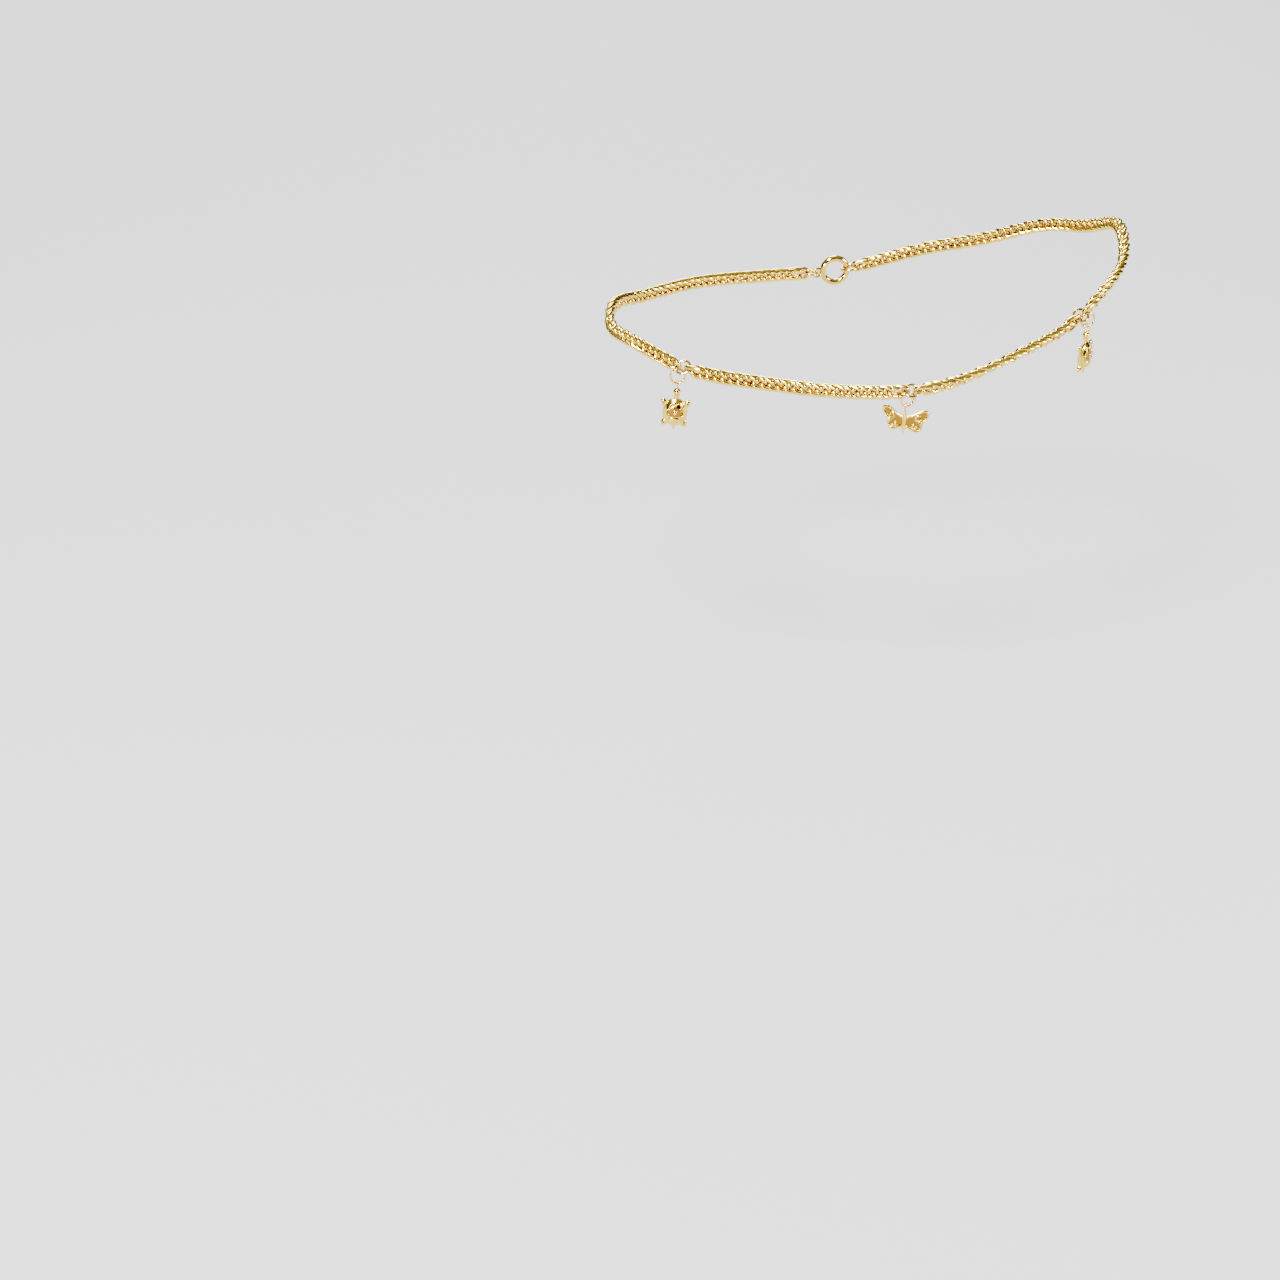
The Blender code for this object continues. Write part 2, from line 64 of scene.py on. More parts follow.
# The chain: flat double curb chain in gold-plated brass. Each link is a round wire closed to an oval and
# twisted, and it passes through the two links before and after it, so the band looks solid. The joining
# rings link its lengths.
LOOP_HALF_LENGTH = 47.8 * MM
LOOP_HALF_WIDTH = 30.6 * MM
# Height of the chain at even steps from the loop's back end round to its front, the same on both sides
ROUTE_HEIGHTS = [11.0, 8.4, 6.4, 3.0, -0.2, -3.3, -5.4, -5.0, -4.0, -3.4, -2.1, -0.8, -1.2]
ROUTE_SAMPLES = 7200
LINK_PITCH = 2.9 * MM
LINK_WIDTH = 2.6 * MM
LINK_WIRE = 0.82 * MM
LINK_TWIST = 47
# Every other link sits a little turned, and the end wires of links two apart bear on each other
LINK_SWAY = 7
LINK_CROSSING = 0.67 * MM
LINK_HOOK = 0.35 * MM
RING_CLEARANCE = 0.08 * MM
CLASP_CLEARANCE = 0.18 * MM
# The chain's direction at a place is taken over this distance each way
DIRECTION_STEP = 0.1 * MM
# Less than this counts as nothing where a piece's vertices are picked
HAIR = 0.01 * MM


def wave_weights():
    """The cosine sum that passes through the route's heights, by the usual cosine transform."""
    last = len(ROUTE_HEIGHTS) - 1
    weights = []
    for order in range(last + 1):
        total = 0
        for step, height in enumerate(ROUTE_HEIGHTS):
            share = 0.5 if step in (0, last) else 1
            total += share * height * MM * math.cos(math.pi * order * step / last)
        weights.append(total * (1 if order in (0, last) else 2) / last)
    return weights


WEIGHTS = wave_weights()


def route_point(turn):
    height = sum(weight * math.cos(order * turn) for order, weight in enumerate(WEIGHTS))
    return Vector((LOOP_HALF_LENGTH * math.cos(turn), -LOOP_HALF_WIDTH * math.sin(turn), height))


ROUTE = [route_point(2 * math.pi * step / ROUTE_SAMPLES) for step in range(ROUTE_SAMPLES + 1)]
ALONG = [0]
for before, after in zip(ROUTE, ROUTE[1:]):
    ALONG.append(ALONG[-1] + (after - before).length)
LOOP_LENGTH = ALONG[-1]


def point_at(distance):
    distance = distance % LOOP_LENGTH
    low = 0
    high = ROUTE_SAMPLES
    while high - low > 1:
        middle = (low + high) // 2
        if ALONG[middle] > distance:
            high = middle
        else:
            low = middle
    share = (distance - ALONG[low]) / (ALONG[high] - ALONG[low])
    return ROUTE[low].lerp(ROUTE[high], share)


def spot_at(distance):
    """The chain's place at a distance from the loop's back end, its direction, and the ways out and up."""
    at = point_at(distance)
    along = (point_at(distance + DIRECTION_STEP) - point_at(distance - DIRECTION_STEP)).normalized()
    out = Vector((-along.y, along.x, 0)).normalized()
    return at, along, out, along.cross(out)


def axes(first, second, third):
    return Matrix((first, second, third)).transposed().to_4x4()


def start_fresh():
    """Edit mode acts on what is selected, so nothing else may be."""
    if bpy.context.object and bpy.context.object.mode != "OBJECT":
        bpy.ops.object.mode_set(mode="OBJECT")
    bpy.ops.object.select_all(action="DESELECT")


def pick(piece, chosen):
    """Selects a piece's vertices by their place."""
    bpy.ops.object.mode_set(mode="EDIT")
    bpy.ops.mesh.select_mode(type="VERT")
    bpy.ops.mesh.select_all(action="DESELECT")
    bpy.ops.object.mode_set(mode="OBJECT")
    for vertex in piece.data.vertices:
        vertex.select = chosen(vertex.co)
    bpy.ops.object.mode_set(mode="EDIT")


def settle(piece, place=Matrix()):
    """Puts a piece's place in its mesh, as a finished piece has it."""
    piece.data.transform(place @ piece.matrix_basis)
    piece.matrix_basis = Matrix()
    return piece


def make_link(half_length, start_turn, end_turn):
    """One link along X round the origin: half_length to the middle of its end wires."""
    bend = (LINK_WIDTH - LINK_WIRE) / 2
    bpy.ops.mesh.primitive_torus_add(
        major_segments=24, minor_segments=12, major_radius=bend, minor_radius=LINK_WIRE / 2
    )
    link = bpy.context.object
    for side in (-1, 1):
        pick(link, lambda co, side=side: co.x * side > HAIR)
        bpy.ops.transform.translate(value=(side * (half_length - bend), 0, 0))
    bpy.ops.object.mode_set(mode="OBJECT")
    link.data.transform(Matrix.Rotation(math.radians(90), 4, "X"))
    # A twist turns the whole length, which is a little more than the middles of the end wires
    twist = link.modifiers.new("twist", "SIMPLE_DEFORM")
    twist.deform_method = "TWIST"
    twist.deform_axis = "X"
    whole = (2 * half_length + LINK_WIRE) / (2 * half_length)
    twist.angle = math.radians(start_turn - end_turn) * whole
    bpy.ops.object.modifier_apply(modifier="twist")
    link.data.transform(Matrix.Rotation(-math.radians((start_turn + end_turn) / 2), 4, "X"))
    return link


def nearest_half_turn(angle, wanted):
    return angle + 180 * round((wanted - angle) / 180)


# How far the ambient occlusion looks for crevices that get painted shade
CREVICE_SHADE_REACH = 0.7 * MM


def darker(colour, shares):
    return (*[part * share for part, share in zip(colour, shares)], 1)


def gold(name, tint, depth, roughness, grain):
    """Polished gold plate: the tone shifts a little over the surface, painted shade darkens it in the hollows
    and crevices and on ground marked as sunk, and fine polishing marks break up the shine. grain is the size
    of the marks."""
    material = bpy.data.materials.new(name)
    material.use_nodes = True
    nodes = material.node_tree.nodes
    links = material.node_tree.links
    shader = nodes["Principled BSDF"]
    shader.inputs["Metallic"].default_value = 1
    place = nodes.new("ShaderNodeTexCoord")
    cloud = nodes.new("ShaderNodeTexNoise")
    cloud.inputs["Scale"].default_value = 0.25 / grain
    cloud.inputs["Detail"].default_value = 3
    links.new(place.outputs["Object"], cloud.inputs["Vector"])
    tone = nodes.new("ShaderNodeValToRGB")
    tone.color_ramp.elements[0].position = 0.3
    tone.color_ramp.elements[0].color = (*depth, 1)
    tone.color_ramp.elements[1].position = 0.62
    tone.color_ramp.elements[1].color = (*tint, 1)
    links.new(cloud.outputs["Fac"], tone.inputs["Fac"])
    # Painted shade: where the surface curves inward, the colour goes to a much darker gold
    bend = nodes.new("ShaderNodeNewGeometry")
    hollow_shade_factor = nodes.new("ShaderNodeMapRange")
    hollow_shade_factor.inputs["From Min"].default_value = 0.42
    hollow_shade_factor.inputs["From Max"].default_value = 0.5
    links.new(bend.outputs["Pointiness"], hollow_shade_factor.inputs["Value"])
    painted_hollow_shade = nodes.new("ShaderNodeMix")
    painted_hollow_shade.data_type = "RGBA"
    painted_hollow_shade.inputs["A"].default_value = darker(depth, (0.35, 0.28, 0.2))
    links.new(hollow_shade_factor.outputs["Result"], painted_hollow_shade.inputs["Factor"])
    links.new(tone.outputs["Color"], painted_hollow_shade.inputs["B"])
    # Painted shade: the colour goes darker where ambient occlusion finds the surface closed in
    shade = nodes.new("ShaderNodeAmbientOcclusion")
    shade.inputs["Distance"].default_value = CREVICE_SHADE_REACH
    open_sky = nodes.new("ShaderNodeMapRange")
    open_sky.inputs["From Min"].default_value = 0.1
    open_sky.inputs["From Max"].default_value = 0.7
    links.new(shade.outputs["AO"], open_sky.inputs["Value"])
    painted_crevice_shade = nodes.new("ShaderNodeMix")
    painted_crevice_shade.data_type = "RGBA"
    painted_crevice_shade.inputs["A"].default_value = darker(depth, (0.6, 0.52, 0.4))
    links.new(open_sky.outputs["Result"], painted_crevice_shade.inputs["Factor"])
    links.new(painted_hollow_shade.outputs["Result"], painted_crevice_shade.inputs["B"])
    # Painted shade: ground marked as sunk takes a darker gold
    sunk = nodes.new("ShaderNodeAttribute")
    sunk.attribute_name = "sunk"
    painted_sunk_shade = nodes.new("ShaderNodeMix")
    painted_sunk_shade.data_type = "RGBA"
    painted_sunk_shade.inputs["B"].default_value = darker(depth, (0.45, 0.34, 0.25))
    links.new(sunk.outputs["Fac"], painted_sunk_shade.inputs["Factor"])
    links.new(painted_crevice_shade.outputs["Result"], painted_sunk_shade.inputs["A"])
    links.new(painted_sunk_shade.outputs["Result"], shader.inputs["Base Color"])
    marks = nodes.new("ShaderNodeTexNoise")
    marks.inputs["Scale"].default_value = 1 / grain
    marks.inputs["Detail"].default_value = 4
    links.new(place.outputs["Object"], marks.inputs["Vector"])
    shine = nodes.new("ShaderNodeMapRange")
    shine.inputs["To Min"].default_value = roughness * 0.6
    shine.inputs["To Max"].default_value = roughness * 1.5
    links.new(marks.outputs["Fac"], shine.inputs["Value"])
    links.new(shine.outputs["Result"], shader.inputs["Roughness"])
    bump = nodes.new("ShaderNodeBump")
    bump.inputs["Strength"].default_value = 0.12
    bump.inputs["Distance"].default_value = 0.00002
    links.new(marks.outputs["Fac"], bump.inputs["Height"])
    links.new(bump.outputs["Normal"], shader.inputs["Normal"])
    return material


chain_gold = gold(
    "chain_gold", tint=(0.98, 0.69, 0.07), depth=(0.72, 0.50, 0.07), roughness=0.16, grain=0.0006
)


def finish(piece, node, material):
    piece.name = node + "_dressed"
    piece.data.name = piece.name
    piece.data.materials.clear()
    piece.data.materials.append(material)
    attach(piece, "root")
    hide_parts(node)
    return piece


def lay_chain(node, start, end, start_hook, end_hook, lie):
    """Links in a row: start and end are the middles of the end wires that hook the rings, lie is the roll
    of the flat at the start, middle and end, and the hooks put the end wires square to their rings."""
    count = round((end - start - LINK_CROSSING) / LINK_PITCH)
    pitch = (end - start - LINK_CROSSING) / count
    half_length = (pitch + LINK_CROSSING) / 2
    # A link at each pitch, and one halfway between each two
    pitch /= 2
    count = 2 * count - 1
    links = []
    for index in range(count):
        share = index / (count - 1)
        if share < 0.5:
            roll = lie[0] + (lie[1] - lie[0]) * share * 2
        else:
            roll = lie[1] + (lie[2] - lie[1]) * (share * 2 - 1)
        roll += LINK_SWAY if index % 2 else -LINK_SWAY
        start_turn = roll + LINK_TWIST
        end_turn = roll - LINK_TWIST
        if index == 0:
            start_turn = nearest_half_turn(start_hook, roll)
        if index == count - 1:
            end_turn = nearest_half_turn(end_hook, roll)
        link = make_link(half_length, start_turn, end_turn)
        at, along, out, up = spot_at(start + half_length + index * pitch)
        settle(link, Matrix.Translation(at) @ axes(along, out, up))
        links.append(link)
    start_fresh()
    for link in links:
        link.select_set(True)
    bpy.context.view_layer.objects.active = links[0]
    bpy.ops.object.join()
    bpy.ops.object.shade_smooth()
    return finish(links[0], node, chain_gold)


# The sizes and places of the rings and the clasp, which give each length of chain its ends
JOINING_RING_OUTSIDE = 3.1 * MM
JOINING_RING_WIRE = 0.5 * MM
CLASP_RING_OUTSIDE = 3.0 * MM
CLASP_RING_WIRE = 0.5 * MM
END_RING_OUTSIDE = 3.6 * MM
END_RING_WIRE = 0.6 * MM
CLASP_OUTSIDE = 6.0 * MM
CLASP_TUBE = 1.2 * MM
EYE_OUTSIDE = 2.2 * MM
EYE_WIRE = 0.6 * MM
EYE_SINK = 0.55 * MM
REAR_PLACE = 29.0 * MM
MIDDLE_PLACE = 65.3 * MM
FRONT_PLACE = 106.4 * MM
REAR_DROOP = 27
MIDDLE_DROOP = 32
FRONT_DROOP = 40
CLASP_PLACE = MIDDLE_PLACE + LOOP_LENGTH / 2


def hook_distance(outside, wire):
    """From a ring's middle to the middle of the end wire that hooks it."""
    return outside / 2 - wire - LINK_HOOK - RING_CLEARANCE


reach = hook_distance(JOINING_RING_OUTSIDE, JOINING_RING_WIRE)
eye_middle = -(CLASP_OUTSIDE / 2 + EYE_SINK)
clasp_ring_middle = (
    eye_middle
    - (EYE_OUTSIDE - EYE_WIRE) / 2
    + (EYE_WIRE + CLASP_RING_WIRE) / 2
    + CLASP_CLEARANCE
    - (CLASP_RING_OUTSIDE - CLASP_RING_WIRE) / 2
)
end_ring_middle = (
    (CLASP_OUTSIDE - CLASP_TUBE) / 2
    - (CLASP_TUBE + END_RING_WIRE) / 2
    - RING_CLEARANCE
    + (END_RING_OUTSIDE - END_RING_WIRE) / 2
)
clasp_side = CLASP_PLACE + clasp_ring_middle - hook_distance(CLASP_RING_OUTSIDE, CLASP_RING_WIRE)
end_side = CLASP_PLACE + end_ring_middle + hook_distance(END_RING_OUTSIDE, END_RING_WIRE)

lay_chain(
    "chain_back",
    start=end_side,
    end=LOOP_LENGTH + REAR_PLACE - reach,
    start_hook=0,
    end_hook=REAR_DROOP,
    lie=(0, 10, 25),
)
lay_chain(
    "chain_butterfly_to_turtle",
    start=REAR_PLACE + reach,
    end=MIDDLE_PLACE - reach,
    start_hook=REAR_DROOP,
    end_hook=MIDDLE_DROOP,
    lie=(30, 64, 18),
)
lay_chain(
    "chain_turtle_to_butterfly",
    start=MIDDLE_PLACE + reach,
    end=FRONT_PLACE - reach,
    start_hook=MIDDLE_DROOP,
    end_hook=FRONT_DROOP,
    lie=(-8, -8, -8),
)
lay_chain(
    "chain_front",
    start=FRONT_PLACE + reach,
    end=clasp_side,
    start_hook=FRONT_DROOP,
    end_hook=0,
    lie=(-8, -5, 0),
)


# The rings: round brass wire coiled, cut and closed, then plated. Three thick ones join the chain's lengths
# and a thinner one hangs from each for its charm. Each keeps the fine gap where its ends meet.
CHARM_RING_OUTSIDE = 3.0 * MM
CHARM_RING_WIRE = 0.4 * MM
# How far round a ring's wire goes, short of a whole turn by the fine gap, and where the gap is
CUT_RING_ANGLE = 358.6
JOINING_RING_GAP = 205
CHARM_RING_GAP = 20
CLASP_RING_GAP = 100
RING_STEPS = 40
ring_gold = gold(
    "ring_gold", tint=(0.88, 0.62, 0.10), depth=(0.62, 0.38, 0.04), roughness=0.1, grain=0.0008
)


def make_ring(outside, wire, gap):
    """A closed cut ring in the XY plane round the origin. gap is where its ends meet, in degrees."""
    start_fresh()
    radius = (outside - wire) / 2
    bpy.ops.mesh.primitive_circle_add(
        vertices=14, radius=wire / 2, fill_type="NGON", location=(radius, 0, 0), rotation=(math.pi / 2, 0, 0)
    )
    ring = bpy.context.object
    settle(ring)
    bpy.ops.object.mode_set(mode="EDIT")
    bpy.ops.mesh.select_all(action="SELECT")
    bpy.ops.mesh.spin(
        steps=RING_STEPS, angle=math.radians(CUT_RING_ANGLE), center=(0, 0, 0), axis=(0, 0, 1)
    )
    bpy.ops.mesh.select_all(action="SELECT")
    bpy.ops.mesh.remove_doubles(threshold=0.0000005)
    bpy.ops.mesh.normals_make_consistent(inside=False)
    bpy.ops.object.mode_set(mode="OBJECT")
    bpy.ops.object.shade_smooth_by_angle(angle=math.radians(50))
    ring.data.transform(Matrix.Rotation(math.radians(gap), 4, "Z"))
    return ring


def hang_rings(label, place, droop, hang, slack, aside, ring_turn, swing, charm_turn, tilt):
    """A joining ring, its charm ring, and the place of the charm that hangs from them."""
    at, along, out, up = spot_at(place)
    dip = math.radians(droop)
    outward = math.cos(dip) * out - math.sin(dip) * up
    ring = make_ring(JOINING_RING_OUTSIDE, JOINING_RING_WIRE, JOINING_RING_GAP)
    settle(ring, Matrix.Translation(at) @ axes(along, outward, along.cross(outward)))
    finish(ring, "joining_ring_" + label, ring_gold)
    angle = math.radians(hang)
    radius = (JOINING_RING_OUTSIDE - JOINING_RING_WIRE) / 2
    wire_at = at + radius * (math.cos(angle) * outward + math.sin(angle) * along)
    facing = math.atan2(out.y, out.x) + math.radians(ring_turn)
    normal = Vector((math.cos(facing), math.sin(facing), 0))
    side = UP.cross(normal)
    charm_radius = (CHARM_RING_OUTSIDE - CHARM_RING_WIRE) / 2
    drop = charm_radius - (JOINING_RING_WIRE + CHARM_RING_WIRE) / 2 - slack
    centre = wire_at - drop * UP + aside * normal
    ring = make_ring(CHARM_RING_OUTSIDE, CHARM_RING_WIRE, CHARM_RING_GAP)
    settle(ring, Matrix.Translation(centre) @ axes(side, UP, normal))
    finish(ring, "charm_ring_" + label, ring_gold)
    lowest = math.sin(math.radians(swing)) * side - math.cos(math.radians(swing)) * UP
    return (
        Matrix.Translation(centre + charm_radius * lowest)
        @ Matrix.Rotation(facing + math.radians(charm_turn + 90), 4, "Z")
        @ Matrix.Rotation(math.radians(tilt), 4, "Y")
    )


rear_place = hang_rings(
    "rear",
    place=REAR_PLACE,
    droop=REAR_DROOP,
    hang=-27,
    slack=0.34 * MM,
    aside=-0.12 * MM,
    ring_turn=-26,
    swing=0,
    charm_turn=38,
    tilt=2,
)
middle_place = hang_rings(
    "middle",
    place=MIDDLE_PLACE,
    droop=MIDDLE_DROOP,
    hang=41,
    slack=0.22 * MM,
    aside=-0.1 * MM,
    ring_turn=11,
    swing=-15,
    charm_turn=-38,
    tilt=3,
)
front_place = hang_rings(
    "front",
    place=FRONT_PLACE,
    droop=FRONT_DROOP,
    hang=16,
    slack=0.14 * MM,
    aside=0,
    ring_turn=35,
    swing=0,
    charm_turn=-8,
    tilt=5,
)


# The turtles: solid little castings in plated brass with a domed shell, a smooth rim, a ball of a head, four
# drilled flippers and a short tail. The hanging loop is soldered on the head. Scutes stand up as rings over
# ground that is painted darker as shade.
LOOP_OUTSIDE = 1.5 * MM
LOOP_HEIGHT = 1.75 * MM
LOOP_WIRE = 0.3 * MM
LOOP_CLEARANCE = 0.18 * MM
LOOP_STRETCH = LOOP_HEIGHT - LOOP_OUTSIDE
LOOP_RADIUS = (LOOP_OUTSIDE - LOOP_WIRE) / 2
LOOP_CENTRE_DOWN = LOOP_RADIUS - (LOOP_WIRE + CHARM_RING_WIRE) / 2 - LOOP_CLEARANCE
LOOP_BOTTOM_DOWN = LOOP_CENTRE_DOWN + LOOP_RADIUS + LOOP_STRETCH
TURTLE_HEAD_RADIUS = 0.67 * MM
TURTLE_NECK = 0.52 * MM
TURTLE_SHELL_WIDTH = 3.6 * MM
TURTLE_SHELL_LENGTH = 4.75 * MM
TURTLE_DOME = 0.95 * MM
TURTLE_BELLY = 0.35 * MM
TURTLE_BODY_WIDTH = 4.45 * MM
TURTLE_BODY_LENGTH = 5.35 * MM
TURTLE_BODY_THICKNESS = 0.8 * MM
TURTLE_TAIL = 0.7 * MM
HEAD_DOWN = LOOP_BOTTOM_DOWN + TURTLE_HEAD_RADIUS * 1.05
BODY_TOP = HEAD_DOWN + TURTLE_HEAD_RADIUS + TURTLE_NECK
BODY_MIDDLE = BODY_TOP + TURTLE_BODY_LENGTH / 2
TURTLE_RIM = 0.62 * MM
TURTLE_RIM_FORWARD = 0.1 * MM
# Half sizes across, front to back and up
FLIPPER = (0.58 * MM, 0.36 * MM, 0.78 * MM)
MIDDLE_SCUTE = (0.32 * MM, 0.16 * MM, 0.4 * MM)
LOW_SCUTE = (1.05 * MM, 0.24 * MM, 0.62 * MM)
TURTLE_SIDE = (0.5 * MM, 0.36 * MM, 2.2 * MM)
TURTLE_SET_BACK = 0.05 * MM
# Flippers: shares of the half width and of the length, and how far they lean out
FLIPPERS = ((0.92, 0.17, 28), (0.76, 0.87, -30))
DRILLING_RADIUS = 0.2 * MM
DRILLING_DEPTH = 0.5 * MM
DRILLING_OUT = 0.11 * MM
DRILLING_FORWARD = 0.3 * MM
# Ring scutes: shares of the half width and of the length, and the radius as a share of the half width
RING_SCUTES = (
    (-0.24, 0.25, 0.24),
    (0.26, 0.25, 0.24),
    (-0.50, 0.47, 0.22),
    (0.50, 0.48, 0.23),
)
SCUTE_WIRE = 0.2 * MM
# The ground painted dark as shade: how far out it reaches as a squared share of the shell, how far down as a
# share of the length, and how far it may stand above the bare dome
SUNK_OUT = 0.68
SUNK_DOWN = 0.6
SUNK_ABOVE = 0.03 * MM
CAST_GRAIN = 0.055 * MM


def cast_ball(centre, size, lean=0):
    start_fresh()
    bpy.ops.mesh.primitive_uv_sphere_add(
        segments=32, ring_count=20, radius=1, location=centre, rotation=(0, math.radians(lean), 0), scale=size
    )
    return settle(bpy.context.object)


def cast_ring(centre, radius, wire, turn=(math.pi / 2, 0, 0), stretch=(1, 1, 1)):
    start_fresh()
    bpy.ops.mesh.primitive_torus_add(
        major_segments=40,
        minor_segments=14,
        major_radius=radius,
        minor_radius=wire / 2,
        location=centre,
        rotation=turn,
    )
    ring = bpy.context.object
    ring.scale = stretch
    return settle(ring)


def cast_loop():
    """The hanging loop: a ring drawn out taller by moving its lower half down."""
    loop = cast_ring((0, 0, -LOOP_CENTRE_DOWN), LOOP_RADIUS, LOOP_WIRE, (0, math.pi / 2, 0))
    pick(loop, lambda co: co.z < -LOOP_CENTRE_DOWN - HAIR)
    bpy.ops.transform.translate(value=(0, 0, -LOOP_STRETCH))
    bpy.ops.object.mode_set(mode="OBJECT")
    return loop


def cast_together(parts, cuts, smoothing=4):
    """Casts the parts as one body, with soft inner corners, and cuts the drillings after."""
    start_fresh()
    for part in parts:
        part.select_set(True)
    body = parts[0]
    bpy.context.view_layer.objects.active = body
    bpy.ops.object.join()
    remesh = body.modifiers.new("remesh", "REMESH")
    remesh.mode = "VOXEL"
    remesh.voxel_size = CAST_GRAIN
    bpy.ops.object.modifier_apply(modifier="remesh")
    soften = body.modifiers.new("soften", "SMOOTH")
    soften.factor = 0.5
    soften.iterations = smoothing
    bpy.ops.object.modifier_apply(modifier="soften")
    for cut in cuts:
        drill = body.modifiers.new("drill", "BOOLEAN")
        drill.operation = "DIFFERENCE"
        drill.object = cut
        bpy.ops.object.modifier_apply(modifier="drill")
        bpy.data.objects.remove(cut)
    bpy.ops.object.shade_smooth_by_angle(angle=math.radians(50))
    return body


cast_gold = gold(
    "cast_gold", tint=(0.98, 0.69, 0.07), depth=(0.68, 0.46, 0.05), roughness=0.14, grain=0.0005
)


def paint_sunk_shade(piece, sunk):
    """Marks the ground between the reliefs, which the gold material paints darker as shade."""
    ground = piece.data.attributes.new("sunk", "FLOAT", "POINT")
    for vertex, mark in zip(piece.data.vertices, ground.data):
        mark.value = 1 if sunk(vertex) else 0


def add_turtle(node, place):
    half_width = TURTLE_BODY_WIDTH / 2
    dome_front = -TURTLE_BELLY / 2
    shell = (TURTLE_SHELL_WIDTH / 2, TURTLE_DOME, TURTLE_SHELL_LENGTH / 2)

    def on_dome(across, down):
        """The front of the dome, at shares of the half width and of the length."""
        x = across * half_width
        z = -BODY_TOP - down * TURTLE_BODY_LENGTH
        reached = (x / shell[0]) ** 2 + ((z + BODY_MIDDLE) / shell[2]) ** 2
        return Vector((x, dome_front - TURTLE_DOME * math.sqrt(max(1 - reached, 0.1)), z))

    parts = [
        cast_ball((0, 0, -BODY_MIDDLE), (half_width, TURTLE_BODY_THICKNESS / 2, TURTLE_BODY_LENGTH / 2)),
        cast_ball((0, dome_front, -BODY_MIDDLE), shell),
        cast_ball((0, 0, -HEAD_DOWN), (TURTLE_HEAD_RADIUS,) * 3),
        cast_ball(
            (0, 0, -(HEAD_DOWN + BODY_TOP) / 2),
            (TURTLE_NECK, TURTLE_NECK * 0.8, (BODY_TOP - HEAD_DOWN) * 0.7),
        ),
        cast_ball(
            (0, 0, -BODY_TOP - TURTLE_BODY_LENGTH),
            (TURTLE_TAIL * 0.4, TURTLE_TAIL * 0.4, TURTLE_TAIL),
        ),
        cast_loop(),
        # The rim round the shell
        cast_ring(
            (0, -TURTLE_RIM_FORWARD, -BODY_MIDDLE),
            half_width * 0.8,
            TURTLE_RIM,
            stretch=(1, TURTLE_BODY_LENGTH / TURTLE_BODY_WIDTH * 1.02, 1),
        ),
    ]
    cuts = []
    for across, down, lean in FLIPPERS:
        for side in (-1, 1):
            middle = Vector((side * across * half_width, 0, -BODY_TOP - down * TURTLE_BODY_LENGTH))
            parts.append(cast_ball(middle, FLIPPER, side * lean))
            start_fresh()
            bpy.ops.mesh.primitive_cylinder_add(
                vertices=16,
                radius=DRILLING_RADIUS,
                depth=DRILLING_DEPTH,
                location=middle + Vector((side * DRILLING_OUT, -DRILLING_FORWARD, 0)),
                rotation=(math.pi / 2, 0, 0),
            )
            cuts.append(settle(bpy.context.object))
    # Four scutes are rings, and the lowest is a smooth wide one
    for across, down, radius in RING_SCUTES:
        parts.append(cast_ring(on_dome(across, down), radius * half_width, SCUTE_WIRE))
    parts.append(cast_ball(on_dome(0, 0.47), MIDDLE_SCUTE))
    parts.append(cast_ball(on_dome(0, 0.72) + Vector((0, TURTLE_SET_BACK, 0)), LOW_SCUTE))
    # The sides run straight between the flippers
    for side in (-1, 1):
        parts.append(cast_ball((side * 0.76 * half_width, TURTLE_SET_BACK, -BODY_MIDDLE), TURTLE_SIDE))
    turtle = cast_together(parts, cuts)

    # The ground between the scutes is painted darker as shade
    def shaded_between_scutes(vertex):
        x, y, z = vertex.co
        reached = (x / shell[0]) ** 2 + ((z + BODY_MIDDLE) / shell[2]) ** 2
        if reached > SUNK_OUT or z < -BODY_TOP - SUNK_DOWN * TURTLE_BODY_LENGTH or y > dome_front:
            return False
        return y > dome_front - TURTLE_DOME * math.sqrt(1 - reached) - SUNK_ABOVE

    paint_sunk_shade(turtle, shaded_between_scutes)
    settle(turtle, place)
    return finish(turtle, node, cast_gold)


add_turtle("turtle_charm_front", front_place)
add_turtle("turtle_charm_rear", rear_place)


# The butterfly: a thin casting in plated brass, wings a little swept back from a slim body, each with a
# rounded rim and wire-like scrolls over a sunk ground, painted darker as shade. Its loop is soldered above
# the body.
WING_SPAN = 8.6 * MM
WING_HEIGHT = 4.0 * MM
WING_TIPS_UP = -0.9 * MM
WING_SWEEP = 18
BUTTERFLY_BODY_LENGTH = 5.0 * MM
BUTTERFLY_BODY_WIDTH = 0.8 * MM
PLATE_THICKNESS = 0.2 * MM
PLATE_BACK = 0.08 * MM
# The rim's middle is drawn in from the outline by this share of the way to the wing's middle
WING_INSET = 0.06
WING_RIM_WIRE = 0.5 * MM
SCROLL_WIRE = 0.38 * MM
SCROLL_FORWARD = 0.2 * MM
SCROLL_STEPS = 11
# How much of its radius a scroll loses on the way in
SCROLL_TIGHTENING = 0.35
# The ground between the scrolls, painted darker as shade: how far forward and back it reaches, and how
# squarely it faces the front
GROUND_FORWARD = -0.14 * MM
GROUND_BACK = 0.05 * MM
GROUND_FACING = -0.8
# Scrolls: shares of the half span and of the height, the radius as a share of the half span, the angle where
# each begins and its turns
SCROLLS = ((0.58, 0.37, 0.15, 60, 0.85), (0.44, 0.76, 0.11, 100, 0.75))
# The right wings' outline: shares of the half span, and of the height below the tips
WING_OUTLINE = [
    (0.03, 0.36),
    (0.30, 0.24),
    (0.60, 0.08),
    (0.78, 0.00),
    (0.92, 0.01),
    (1.00, 0.10),
    (0.99, 0.23),
    (0.89, 0.42),
    (0.76, 0.56),
    (0.67, 0.62),
    (0.73, 0.70),
    (0.74, 0.80),
    (0.68, 0.92),
    (0.55, 1.00),
    (0.39, 0.98),
    (0.23, 0.86),
    (0.03, 0.72),
]


